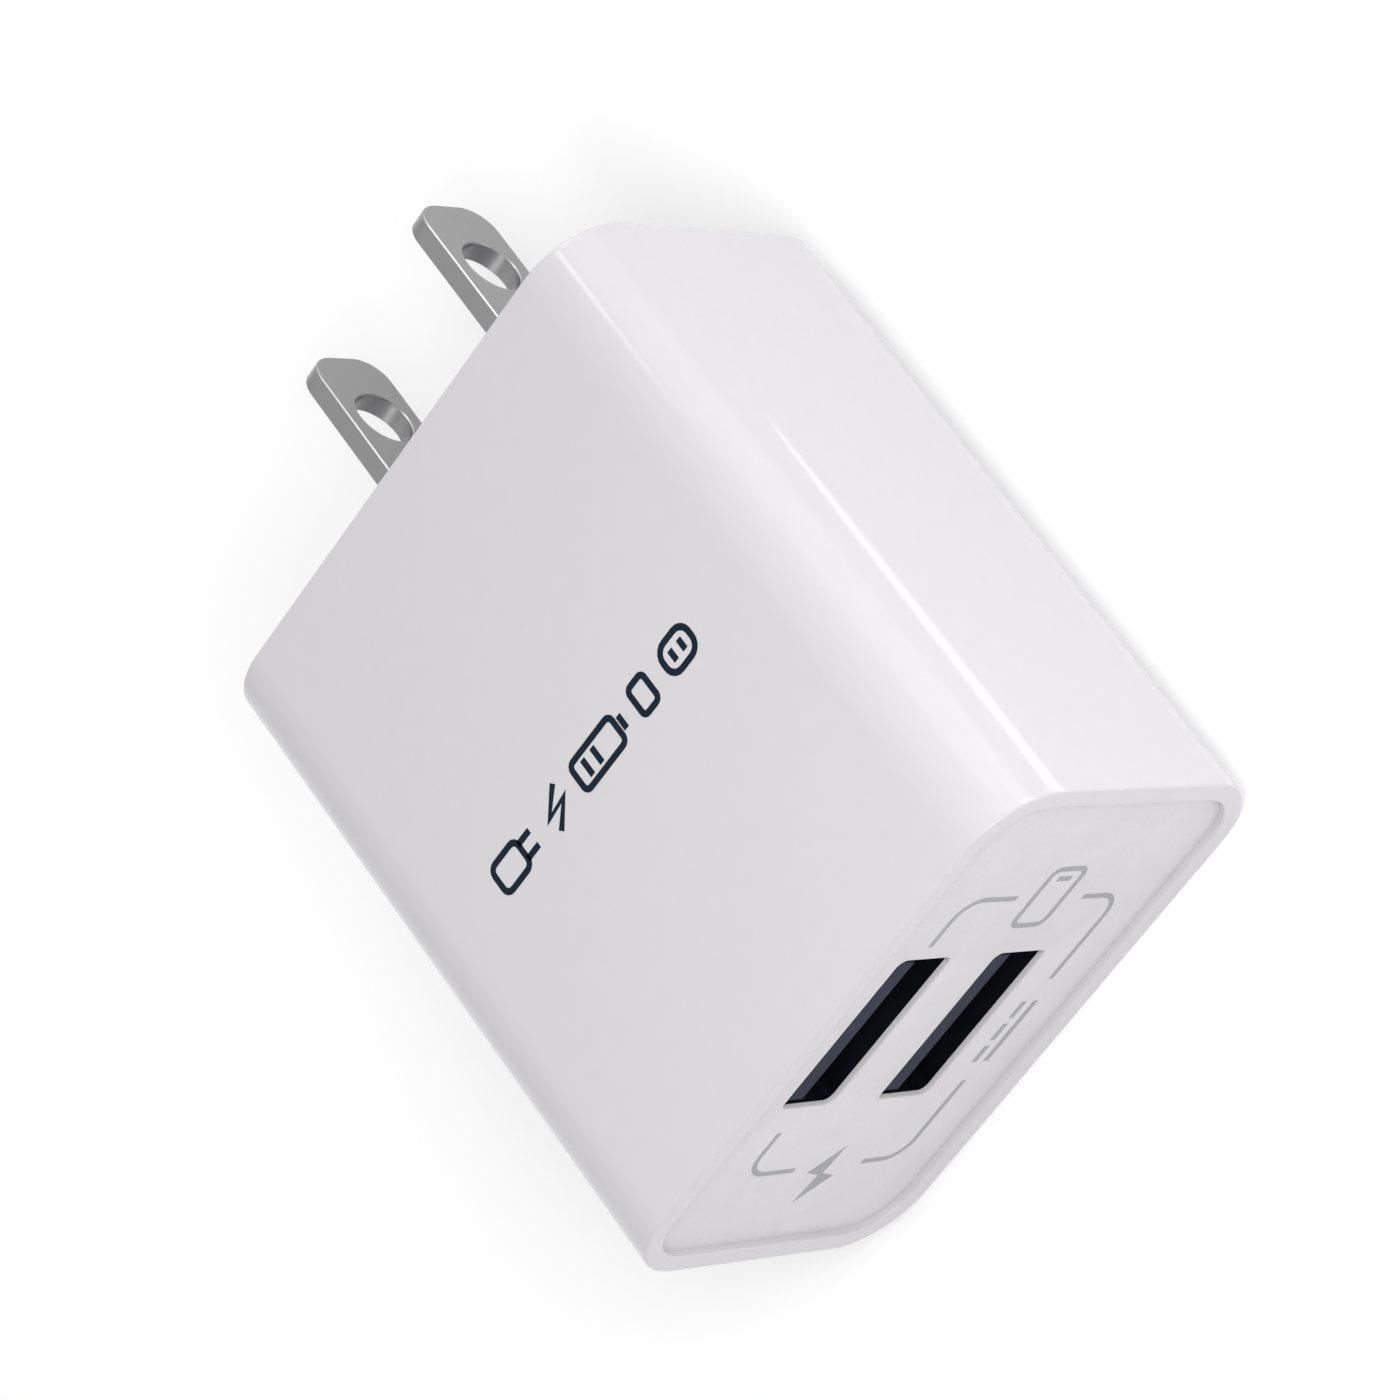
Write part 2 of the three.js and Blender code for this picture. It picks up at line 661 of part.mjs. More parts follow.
// ---- Boards ----
function mainBoard() {
  const plate = box(
    -MAIN_BOARD.width / 2,
    MAIN_BOARD.width / 2,
    MAIN_BOARD_FRONT,
    MAIN_BOARD.wallEnd,
    MAIN_BOARD_BOTTOM,
    MAIN_BOARD.top,
  );
  const pairs = [
    ...INPUT_CAPACITOR.y.map((y) => [INPUT_CAPACITOR.x, y, INPUT_CAPACITOR.pitch / 2]),
    [CHOKE.x, CHOKE.y, 1.5],
    [RESISTOR.x, RESISTOR.y, RESISTOR.span / 2],
    [Y_CAPACITOR.x, Y_CAPACITOR.y, Y_CAPACITOR.pitch / 2],
  ].flatMap(([x, y, half]) => [
    [x - half, y],
    [x + half, y],
  ]);
  const pinRow = BOBBIN.depth / 2 - 1.2;
  const pins = BOBBIN.pins.flatMap((x) => [
    [TRANSFORMER.x + x, TRANSFORMER.y - pinRow],
    [TRANSFORMER.x + x, TRANSFORMER.y + pinRow],
  ]);
  const round = [...pairs, ...pins].map(([x, y]) =>
    rod(0.45, MAIN_BOARD_BOTTOM - LAP, MAIN_BOARD.top + LAP, x, y, 6),
  );
  const half = LINK_PIN.side / 2 + FIT;
  const legY = PORT_BOARD_BACK + LINK_PIN.leg;
  const square = LINK_PIN.x.map((x) =>
    box(x - half, x + half, legY - half, legY + half, MAIN_BOARD_BOTTOM - LAP, MAIN_BOARD.top + LAP),
  );
  return node("main_board", cut(plate, ...round, ...square), MATERIAL.board);
}

function portBoard() {
  const { width, height, radius, front } = PORT_BOARD;
  const y0 = front - LAP;
  const y1 = PORT_BOARD_BACK + LAP;
  const plate = alongY(roundedRectangle(width, height, radius), front, PORT_BOARD_BACK);
  const contactHalf = CONTACT.width / 2 + FIT;
  const legX = SOCKET.width / 2 + SOCKET.sheet / 2;
  const legHalf = SOCKET.sheet / 2 + FIT;
  const cuts = PORT.z.flatMap((z) => [
    ...CONTACT.x.map((x) => box(x - contactHalf, x + contactHalf, y0, y1, ...contactSlot(z))),
    ...[-legX, legX].map((x) =>
      box(x - legHalf, x + legHalf, y0, y1, z - SHELL_LEG.width / 2 - FIT, z + SHELL_LEG.width / 2 + FIT),
    ),
  ].map((tool) => tool.translate(PORT.x, 0, 0)));
  const capacitorLeads = OUTPUT_CAPACITOR.z.flatMap((z) =>
    [-1, 1].map((side) =>
      rod(0.45, 0, y1 - y0, 0, 0, 6)
        .rotateX(-Math.PI / 2)
        .translate(OUTPUT_CAPACITOR.x + (side * OUTPUT_CAPACITOR.pitch) / 2, y0, z),
    ),
  );
  const half = LINK_PIN.side / 2 + FIT;
  const linkZ = MAIN_BOARD.top + LINK_PIN.rise;
  const links = LINK_PIN.x.map((x) => box(x - half, x + half, y0, y1, linkZ - half, linkZ + half));
  return node("port_board", cut(plate, ...cuts, ...capacitorLeads, ...links), MATERIAL.board);
}

// Each link pin runs through the port board, turns down and runs through the main board.
function linkPins() {
  const z = MAIN_BOARD.top + LINK_PIN.rise;
  const line = [
    [PORT_BOARD.front - LINK_PIN.reach, z],
    [PORT_BOARD_BACK + LINK_PIN.leg, z],
    [PORT_BOARD_BACK + LINK_PIN.leg, MAIN_BOARD_BOTTOM - LINK_PIN.reach],
  ];
  const outline = stripOutline(line, LINK_PIN.side);
  return LINK_PIN.x.map((x, i) =>
    node("link_pin_" + (i + 1), alongX(outline, x - LINK_PIN.side / 2, x + LINK_PIN.side / 2), MATERIAL.tin),
  );
}

// A folded insulating film between the transformer and the port board, with a flap over the top.
function insulationSheet() {
  const thickness = 0.25;
  const wall = PORT_BOARD_BACK + 1.6;
  const line = [
    [wall, MAIN_BOARD.top + 0.1],
    [wall, HALF_DEPTH - SHELL_WALL - 0.6],
    [wall + 14, HALF_DEPTH - SHELL_WALL - 0.6],
  ];
  return node("insulation_sheet", alongX(stripOutline(line, thickness), -0.4, 16.4), MATERIAL.film);
}

// ---- USB sockets, drawn about their own centre line ----
function socketShell() {
  const { width, height, sheet, radius } = SOCKET;
  const outer = alongY(
    roundedRectangle(width + 2 * sheet, height + 2 * sheet, radius + sheet),
    SOCKET_FRONT,
    PORT_BOARD.front - FIT,
  );
  const inner = alongY(roundedRectangle(width, height, radius), SOCKET_FRONT - LAP, PORT_BOARD.front + LAP);
  const half = width / 2;
  const legEnd = PORT_BOARD.front + SHELL_LEG.reach;
  const legStart = PORT_BOARD.front - LAP;
  const legHalf = SHELL_LEG.width / 2;
  return join(
    cut(outer, inner),
    box(half, half + sheet, legStart, legEnd, -legHalf, legHalf),
    box(-half - sheet, -half, legStart, legEnd, -legHalf, legHalf),
  );
}

// The insulator: a block that fills the back of the shell, and the tongue with a tapered tip.
function socketInsulator() {
  const { width, thickness, tip, top, recess, taper } = TONGUE;
  const front = PANEL_FRONT + recess;
  const blockFront = PORT_BOARD.front - TONGUE_BLOCK;
  const tongue = alongX(
    polygon([
      [front, top],
      [front, top - tip],
      [front + taper, top - thickness],
      [blockFront + LAP, top - thickness],
      [blockFront + LAP, top],
    ]),
    -width / 2,
    width / 2,
  );
  const block = alongY(
    roundedRectangle(SOCKET.width - 2 * FIT, SOCKET.height - 2 * FIT, SOCKET.radius - FIT),
    blockFront,
    PORT_BOARD.front - 2 * FIT,
  );
  const half = CONTACT.width / 2 + FIT;
  const channels = CONTACT.x.map((x) =>
    box(x - half, x + half, blockFront - LAP, PORT_BOARD.front + LAP, ...contactSlot(0)),
  );
  return cut(join(tongue, block), ...channels);
}

// The height range of the slots that the contacts pass through, about a socket's centre height.
function contactSlot(centre) {
  const top = centre + TONGUE.top - TONGUE.thickness;
  return [top - CONTACT.thickness - FIT, top];
}

// A contact lies under the tongue, bulges where it meets the plug, and ends behind the port board.
function socketContact(x) {
  const z = TONGUE.top - TONGUE.thickness - CONTACT.thickness / 2 - FIT / 2;
  const start = PANEL_FRONT + TONGUE.recess + TONGUE.taper + 0.3;
  const line = [
    [start, z],
    [start + 0.7, z - CONTACT.bump * 0.8],
    [start + 1.5, z - CONTACT.bump],
    [start + 2.6, z - CONTACT.bump * 0.7],
    [start + 4.4, z],
    [PORT_BOARD_BACK + 0.9, z],
  ];
  return alongX(stripOutline(line, CONTACT.thickness), x - CONTACT.width / 2, x + CONTACT.width / 2);
}

function usbSocket(name, z) {
  return groupAt(
    [PORT.x, 0, z],
    node(name + "_shell", socketShell(), MATERIAL.socketShell),
    node(name + "_tongue", socketInsulator(), MATERIAL.socketPlastic),
    ...CONTACT.x.map((x, i) => node(name + "_contact_" + (i + 1), socketContact(x), MATERIAL.gold)),
  );
}

// ---- Assembly ----
function onBoard(place, name, geometry, material) {
  return groupAt([place.x, place.y, MAIN_BOARD.top], node(name, geometry, material));
}

function underBoard(place, name, geometry, material) {
  const group = groupAt([place.x, place.y, MAIN_BOARD_BOTTOM], node(name, geometry, material));
  group.rotation.y = Math.PI;
  return group;
}

// Parts drawn standing on z = 0 stand out from the port board's front towards -Y.
function onPortBoard(x, z, part) {
  const group = groupAt([x, PORT_BOARD.front, z], part);
  group.rotation.x = Math.PI / 2;
  return group;
}

const charger = new THREE.Group();
charger.add(
  node("outer_shell", outerShell(), MATERIAL.casing),
  node("port_panel", portPanel(), MATERIAL.panel),
  node("blade_carrier", bladeCarrier(), MATERIAL.carrier),
  blade(-1, "blade_left"),
  blade(1, "blade_right"),
  contactSpring(-1, "contact_spring_left"),
  contactSpring(1, "contact_spring_right"),
  mainBoard(),
  portBoard(),
  ...linkPins(),
  insulationSheet(),
);

INPUT_CAPACITOR.y.forEach((y, i) => {
  const { radius, height, pitch, x } = INPUT_CAPACITOR;
  charger.add(electrolytic("input_capacitor_" + (i + 1), radius, height, [x, y, MAIN_BOARD.top], pitch));
});
OUTPUT_CAPACITOR.z.forEach((z, i) => {
  const { radius, height, pitch, x } = OUTPUT_CAPACITOR;
  const part = electrolytic("output_capacitor_" + (i + 1), radius, height, [0, 0, 0], pitch);
  charger.add(onPortBoard(x, z, part));
});

charger.add(
  drumChoke([CHOKE.x, CHOKE.y, MAIN_BOARD.top]),
  transformer([TRANSFORMER.x, TRANSFORMER.y, MAIN_BOARD.top]),
  onBoard(RESISTOR, "fusible_resistor", axialResistor(RESISTOR.span, RESISTOR.height), MATERIAL.resistor),
  onBoard(
    Y_CAPACITOR,
    "y_capacitor",
    discCapacitor(Y_CAPACITOR.radius, Y_CAPACITOR.thickness, Y_CAPACITOR.pitch),
    MATERIAL.blueCeramic,
  ),
  onBoard(BRIDGE, "bridge_rectifier", gullWingPackage(4.7, 3.9, 1.5, 2, 2.5, 0.6), MATERIAL.epoxy),
  onBoard(OPTOCOUPLER, "optocoupler", gullWingPackage(4.4, 3, 2.4, 2, 2.54, 0.5), MATERIAL.epoxy),
  underBoard(CONTROLLER, "controller_chip", gullWingPackage(4.9, 3.9, 1.5, 4, 1.27, 0.4), MATERIAL.epoxy),
  onPortBoard(
    RECTIFIER.x,
    RECTIFIER.z,
    node("output_rectifier", gullWingPackage(3.6, 4.3, 2.2, 1, 0, 2), MATERIAL.epoxy),
  ),
  onPortBoard(
    PORT_CHIP.x,
    PORT_CHIP.z,
    node("charge_port_chip", gullWingPackage(2.9, 1.6, 1.1, 3, 0.95, 0.4), MATERIAL.epoxy),
  ),
  usbSocket("usb_upper", PORT.z[0]),
  usbSocket("usb_lower", PORT.z[1]),
);

export default charger;
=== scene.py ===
"""Looks of the two-port USB wall charger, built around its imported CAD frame.

Metres, in the CAD's own frame: the origin is the centre of the wall face, +Y runs along the blades,
+Z is the normal of the wide printed face, and the USB sockets open towards -Y.
"""

import math

import bmesh
import bpy
from mathutils import Matrix, Vector


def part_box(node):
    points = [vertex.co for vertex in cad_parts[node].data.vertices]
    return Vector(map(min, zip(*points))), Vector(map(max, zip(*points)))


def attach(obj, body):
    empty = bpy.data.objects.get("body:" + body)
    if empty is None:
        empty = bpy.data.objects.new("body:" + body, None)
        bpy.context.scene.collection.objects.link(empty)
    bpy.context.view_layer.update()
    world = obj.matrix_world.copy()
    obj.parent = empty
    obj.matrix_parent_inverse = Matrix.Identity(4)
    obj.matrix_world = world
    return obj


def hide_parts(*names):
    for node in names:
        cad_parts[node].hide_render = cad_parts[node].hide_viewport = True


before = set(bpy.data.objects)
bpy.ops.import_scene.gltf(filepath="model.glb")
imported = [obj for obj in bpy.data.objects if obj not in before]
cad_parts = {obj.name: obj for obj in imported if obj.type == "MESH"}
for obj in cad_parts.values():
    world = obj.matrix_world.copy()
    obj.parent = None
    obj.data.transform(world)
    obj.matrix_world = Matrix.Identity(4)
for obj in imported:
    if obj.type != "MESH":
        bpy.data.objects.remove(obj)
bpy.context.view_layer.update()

MM = 0.001

# ---- Sizes in millimetres that the CAD boxes don't give ----
CORNER_RADIUS = 4.8
PORT_END_WIDTH = 39.8
WALL_END_FILLET = 0.2
PORT_END_FILLET = 0.15
SHELL_WALL = 2.0
END_WALL = 2.2
MOUTH_SIZE = (37.16, 21.7)
MOUTH_RADIUS = 3.5
MOUTH_FILLET = 0.15
PANEL_PRESS = 0.01
RAIL_REACH = 1.1
RAIL_THICKNESS = 0.7
RAIL_SETBACK = 1.0
WINDOW_SIZE = (27.0, 11.0)
WINDOW_RADIUS = 2.0
FIT = 0.05

OPENING_SIZE = (12.3, 4.6)
OPENING_RADIUS = 0.55
OPENING_CHAMFER = 0.12
LIP_THICKNESS = 0.4
SEAT_GAP = 0.1
SOCKET_SHEET = 0.3
SOCKET_EDGE = 0.05
SOCKET_RADIUS = 0.9
SOCKET_LEG_HALF = 0.8

BLADE_TIP_RADIUS = 2.1
BLADE_HOLE_RADIUS = 2.05
BLADE_HOLE_FROM_TIP = 5.35
BLADE_TAIL_HALF = 2.3
BLADE_SHOULDER = -1.2
BLADE_BEVEL = 0.08

# Printed marks: the ink's thickness, the widths of its lines, and the row of symbols along Y.
INK_HEIGHT = 0.012
PANEL_LINE = 0.38
DC_LINE = 0.45
PHONE_LINE = 0.4
MARK_LINE = 0.42
BRACKET_RADIUS = 1.65
MARK_LOW = -24.4
MARK_HIGH = -22.0

# Meshes: the steps of a quarter circle, the angle in degrees above which an edge is crisp, and the
# distance from an arc's end to the extra points beside it.
ARC_STEPS = 12
SMOOTH_ANGLE = 35.0
EDGE_GUARD = 0.25


def box_mm(node):
    """A CAD node's lowest and highest corners, in millimetres."""
    low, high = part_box(node)
    return Vector(low) / MM, Vector(high) / MM


# ---- Mesh helpers: outlines are lists of (u, v) points in millimetres ----
def quarter_arc(centre, radius, start, steps=ARC_STEPS):
    """Points round a quarter circle, anticlockwise from start, which is in half turns."""
    points = []
    for i in range(steps + 1):
        angle = math.pi * (start + 0.5 * i / steps)
        points.append((centre[0] + radius * math.cos(angle), centre[1] + radius * math.sin(angle)))
    return points


def rounded_outline(width, height, radius, centre=(0.0, 0.0), steps=ARC_STEPS, guard=0.0):
    """A rounded rectangle, anticlockwise from its lower right arc.

    guard adds a point on the straight beside each end of each arc, which keeps the flats' shading flat.
    """
    corners = (
        (width / 2 - radius, -height / 2 + radius, -0.5),
        (width / 2 - radius, height / 2 - radius, 0.0),
        (-width / 2 + radius, height / 2 - radius, 0.5),
        (-width / 2 + radius, -height / 2 + radius, 1.0),
    )
    points = []
    for u, v, start in corners:
        arc = quarter_arc((centre[0] + u, centre[1] + v), radius, start, steps)
        if guard:
            ahead = (round(-math.sin(math.pi * start)), round(math.cos(math.pi * start)))
            before = (arc[0][0] - guard * ahead[0], arc[0][1] - guard * ahead[1])
            after = (arc[-1][0] - guard * ahead[1], arc[-1][1] + guard * ahead[0])
            arc = [before, *arc, after]
        points += arc
    return points


def circle_outline(radius, centre):
    steps = 4 * ARC_STEPS
    return [
        (
            centre[0] + radius * math.cos(2 * math.pi * i / steps),
            centre[1] + radius * math.sin(2 * math.pi * i / steps),
        )
        for i in range(steps)
    ]


def on_xz(points, y):
    return [Vector((x, y, z)) * MM for x, z in points]


def on_yz(points, x):
    return [Vector((x, y, z)) * MM for y, z in points]


def add_ring(bm, points):
    """Adds a ring's vertices to a mesh."""
    return [bm.verts.new(p) for p in points]


def bridge(bm, first, second):
    """Quads between two rings that have the same number of points."""
    count = len(first)
    for i in range(count):
        j = (i + 1) % count
        bm.faces.new((first[i], first[j], second[j], second[i]))


def ring_edges(bm, ring):
    """A ring's edges, made where the mesh doesn't have them yet."""
    edges = []
    for i, vert in enumerate(ring):
        following = ring[(i + 1) % len(ring)]
        edge = bm.edges.get((vert, following)) or bm.edges.new((vert, following))
        edges.append(edge)
    return edges


def fill_between(bm, rings):
    """Fills the flat region inside the first ring and outside the others."""
    edges = [edge for ring in rings for edge in ring_edges(bm, ring)]
    bmesh.ops.triangle_fill(bm, use_beauty=True, use_dissolve=False, edges=edges)


def add_box(bm, low, high):
    """A closed box between two corners in millimetres."""
    size = Vector(high) - Vector(low)
    centre = (Vector(high) + Vector(low)) / 2
    place = Matrix.Translation(centre * MM) @ Matrix.Diagonal((*(size * MM), 1.0))
    bmesh.ops.create_cube(bm, size=1.0, matrix=place)


def finish_mesh(bm, name, material):
    """Turns a bmesh into a piece with outward faces, smooth arcs and crisp edges."""
    bmesh.ops.recalc_face_normals(bm, faces=bm.faces[:])
    mesh = bpy.data.meshes.new(name)
    bm.to_mesh(mesh)
    bm.free()
    piece = bpy.data.objects.new(name, mesh)
    bpy.context.scene.collection.objects.link(piece)
    mesh.materials.append(material)
    mesh.shade_smooth()
    mesh.set_sharp_from_angle(angle=math.radians(SMOOTH_ANGLE))
    return piece


def tube(name, rings, boxes, material):
    """A piece through rings that close on themselves, with boxes that stand on its walls."""
    bm = bmesh.new()
    made = [add_ring(bm, ring) for ring in rings]
    for first, second in zip(made, made[1:] + made[:1]):
        bridge(bm, first, second)
    for low, high in boxes:
        add_box(bm, low, high)
    return finish_mesh(bm, name, material)


def plate(name, outer, holes, material):
    """A flat-faced piece. outer and each hole are lists of rings from its front face to its back."""
    bm = bmesh.new()
    walls = [[add_ring(bm, ring) for ring in wall] for wall in [outer, *holes]]
    for wall in walls:
        for first, second in zip(wall, wall[1:]):
            bridge(bm, first, second)
    fill_between(bm, [wall[0] for wall in walls])
    fill_between(bm, [wall[-1] for wall in walls])
    return finish_mesh(bm, name, material)


# ---- Materials ----
# Most of a noise texture's values lie between these two, and they become the ends of each mixture.
NOISE_LOW = 0.3
NOISE_HIGH = 0.7
# How many times coarser the colour's noise is than the grain.
BROAD_TO_FINE = 12


def new_material(name):
    """A new material with its node tree and its shader node."""
    material = bpy.data.materials.new(name)
    material.use_nodes = True
    tree = material.node_tree
    return material, tree, tree.nodes["Principled BSDF"]


def object_noise(tree, scale, detail=2.0, roughness=0.5, stretch=(1.0, 1.0, 1.0)):
    """Noise fixed to the object. scale is in features per metre."""
    coordinates = tree.nodes.new("ShaderNodeTexCoord")
    mapping = tree.nodes.new("ShaderNodeMapping")
    mapping.inputs["Scale"].default_value = stretch
    noise = tree.nodes.new("ShaderNodeTexNoise")
    noise.inputs["Scale"].default_value = scale
    noise.inputs["Detail"].default_value = detail
    noise.inputs["Roughness"].default_value = roughness
    tree.links.new(coordinates.outputs["Object"], mapping.inputs["Vector"])
    tree.links.new(mapping.outputs["Vector"], noise.inputs["Vector"])
    return noise


def colour_between(tree, factor, low, high):
    """A colour that runs from low to high as factor goes from NOISE_LOW to NOISE_HIGH."""
    ramp = tree.nodes.new("ShaderNodeValToRGB")
    ramp.color_ramp.elements[0].position = NOISE_LOW
    ramp.color_ramp.elements[1].position = NOISE_HIGH
    ramp.color_ramp.elements[0].color = (*low, 1.0)
    ramp.color_ramp.elements[1].color = (*high, 1.0)
    tree.links.new(factor, ramp.inputs["Fac"])
    return ramp.outputs["Color"]


def value_between(tree, factor, low, high):
    """A number that runs from low to high in the same way."""
    spread = tree.nodes.new("ShaderNodeMapRange")
    spread.inputs["From Min"].default_value = NOISE_LOW
    spread.inputs["From Max"].default_value = NOISE_HIGH
    spread.inputs["To Min"].default_value = low
    spread.inputs["To Max"].default_value = high
    tree.links.new(factor, spread.inputs["Value"])
    return spread.outputs["Result"]


def add_bump(tree, shader, height, distance_mm):
    """Relief from a noise: distance_mm is how high its full value stands."""
    bump = tree.nodes.new("ShaderNodeBump")
    bump.inputs["Strength"].default_value = 1.0
    bump.inputs["Distance"].default_value = distance_mm * MM
    tree.links.new(height, bump.inputs["Height"])
    tree.links.new(bump.outputs["Normal"], shader.inputs["Normal"])


def textured(
    name, low, high, rough, grain, bump_mm, metallic=0.0, stretch=(1.0, 1.0, 1.0), gloss=0.5
):
    """A surface whose colour and roughness vary softly, with a fine grain in its relief.

    low and high are linear colours, rough is the range of roughness, and grain is in features per metre.
    """
    material, tree, shader = new_material(name)
    broad = object_noise(tree, grain / BROAD_TO_FINE, stretch=stretch)
    fine = object_noise(tree, grain, detail=3.0, roughness=0.6, stretch=stretch)
    colour = colour_between(tree, broad.outputs["Fac"], low, high)
    roughness = value_between(tree, fine.outputs["Fac"], *rough)
    tree.links.new(colour, shader.inputs["Base Color"])
    tree.links.new(roughness, shader.inputs["Roughness"])
    shader.inputs["Metallic"].default_value = metallic
    shader.inputs["Specular IOR Level"].default_value = gloss
    add_bump(tree, shader, fine.outputs["Fac"], bump_mm)
    return material


casing_white = textured(
    "casing_white", (0.555, 0.543, 0.561), (0.563, 0.551, 0.568), (0.12, 0.16), 9000, 0.0005
)
panel_white = textured(
    "panel_white", (0.586, 0.574, 0.592), (0.606, 0.594, 0.612), (0.5, 0.62), 4500, 0.045
)
carrier_white = textured(
    "carrier_white", (0.575, 0.563, 0.581), (0.59, 0.578, 0.596), (0.45, 0.55), 6000, 0.01
)
blade_nickel = textured(
    "blade_nickel",
    (0.304, 0.304, 0.308),
    (0.313, 0.313, 0.317),
    (0.3, 0.34),
    3000,
    0.0003,
    metallic=1.0,
    stretch=(1.0, 0.12, 1.0),
)
# The sockets' shells are near-black and not metallic: painted shade for the dark insides of the
# openings, in place of their plated metal.
socket_painted_shade = textured(
    "socket_painted_shade", (0.002, 0.0026, 0.005), (0.004, 0.005, 0.009), (0.55, 0.65), 4000, 0.004, gloss=0.1
)
tongue_slate = textured(
    "tongue_slate", (0.016, 0.02, 0.038), (0.02, 0.025, 0.046), (0.5, 0.6), 5000, 0.004, gloss=0.1
)
ink_grey = textured(
    "ink_grey", (0.3, 0.303, 0.308), (0.32, 0.323, 0.328), (0.5, 0.6), 8000, 0.003
)
ink_navy = textured(
    "ink_navy", (0.001, 0.009, 0.02), (0.002, 0.011, 0.024), (0.5, 0.6), 8000, 0.002, gloss=0.15
)
spring_bronze = textured(
    "spring_bronze", (0.5, 0.3, 0.12), (0.62, 0.39, 0.17), (0.25, 0.4), 2500, 0.004, metallic=1.0
)
contact_gold = textured(
    "contact_gold", (0.75, 0.54, 0.2), (0.85, 0.64, 0.27), (0.2, 0.32), 3000, 0.003, metallic=1.0
)
tin = textured(
    "tin", (0.55, 0.56, 0.57), (0.66, 0.67, 0.68), (0.28, 0.42), 2500, 0.004, metallic=1.0
)
aluminium = textured(
    "aluminium", (0.6, 0.61, 0.63), (0.7, 0.71, 0.72), (0.25, 0.38), 2500, 0.004, metallic=1.0
)
copper_wire = textured(
    "copper_wire",
    (0.42, 0.14, 0.04),
    (0.6, 0.22, 0.07),
    (0.3, 0.42),
    2000,
    0.02,
    metallic=0.8,
    stretch=(0.15, 0.15, 1.0),
)
solder_mask = textured(
    "solder_mask", (0.012, 0.1, 0.045), (0.02, 0.13, 0.06), (0.28, 0.4), 3000, 0.006
)
black_sleeve = textured(
    "black_sleeve", (0.012, 0.014, 0.02), (0.02, 0.023, 0.032), (0.22, 0.35), 1500, 0.006
)
black_rubber = textured(
    "black_rubber", (0.02, 0.02, 0.02), (0.035, 0.035, 0.035), (0.7, 0.85), 2500, 0.012
)
black_plastic = textured(
    "black_plastic", (0.015, 0.015, 0.017), (0.025, 0.025, 0.027), (0.45, 0.6), 4000, 0.008
)
ferrite_grey = textured(
    "ferrite_grey", (0.035, 0.035, 0.038), (0.06, 0.06, 0.063), (0.55, 0.75), 2500, 0.02
)
yellow_tape = textured(
    "yellow_tape", (0.72, 0.46, 0.06), (0.8, 0.54, 0.09), (0.2, 0.35), 1200, 0.008
)
blue_dip = textured(
    "blue_dip", (0.03, 0.13, 0.36), (0.045, 0.17, 0.45), (0.25, 0.4), 900, 0.03
)
resistor_lacquer = textured(
    "resistor_lacquer", (0.2, 0.33, 0.4), (0.25, 0.39, 0.46), (0.45, 0.6), 2500, 0.012
)
film_amber = textured(
    "film_amber", (0.72, 0.66, 0.46), (0.78, 0.72, 0.52), (0.2, 0.3), 1500, 0.004
)


# ---- Casing ----
shell_low, shell_high = box_mm("outer_shell")
panel_low, panel_high = box_mm("port_panel")
BODY_WIDTH = shell_high.x - shell_low.x
BODY_LENGTH = shell_high.y - shell_low.y
BODY_DEPTH = shell_high.z - shell_low.z
PANEL_FRONT = panel_low.y
PANEL_BACK = panel_high.y


def body_ring(inset, y):
    """The casing's cross-section at y, moved in by inset. The narrow sides have a slight draft."""
    width = BODY_WIDTH - (BODY_WIDTH - PORT_END_WIDTH) * -y / BODY_LENGTH
    outline = rounded_outline(
        width - 2 * inset, BODY_DEPTH - 2 * inset, CORNER_RADIUS - inset, guard=EDGE_GUARD
    )
    return on_xz(outline, y)


def mouth_ring(inset, y):
    """The outline of the opening that the panel closes, moved in by inset."""
    width, height = MOUTH_SIZE
    outline = rounded_outline(
        width - 2 * inset, height - 2 * inset, MOUTH_RADIUS - inset, guard=EDGE_GUARD
    )
    return on_xz(outline, y)


def fillet_rings(ring, from_inset, from_y, to_inset, to_y, steps=5, inset_first=True):
    """Rings round a quarter arc between two places. inset_first says which of the two moves first."""
    rings = []
    for i in range(steps + 1):
        angle = 0.5 * math.pi * i / steps
        slow, fast = 1 - math.cos(angle), math.sin(angle)
        u, v = (fast, slow) if inset_first else (slow, fast)
        rings.append(ring(from_inset + (to_inset - from_inset) * u, from_y + (to_y - from_y) * v))
    return rings


def board_rails():
    """Two pairs of rails inside the narrow sides that hold the main board's edges."""
    board_low, board_high = box_mm("main_board")
    inner = PORT_END_WIDTH / 2 - SHELL_WALL - RAIL_REACH
    outer = PORT_END_WIDTH / 2 - SHELL_WALL / 2
    rails = []
    for z in (board_high.z + FIT, board_low.z - FIT - RAIL_THICKNESS):
        for x0, x1 in ((inner, outer), (-outer, -inner)):
            low = (x0, board_low.y + RAIL_SETBACK, z)
            high = (x1, board_high.y - RAIL_SETBACK, z + RAIL_THICKNESS)
            rails.append((low, high))
    return rails


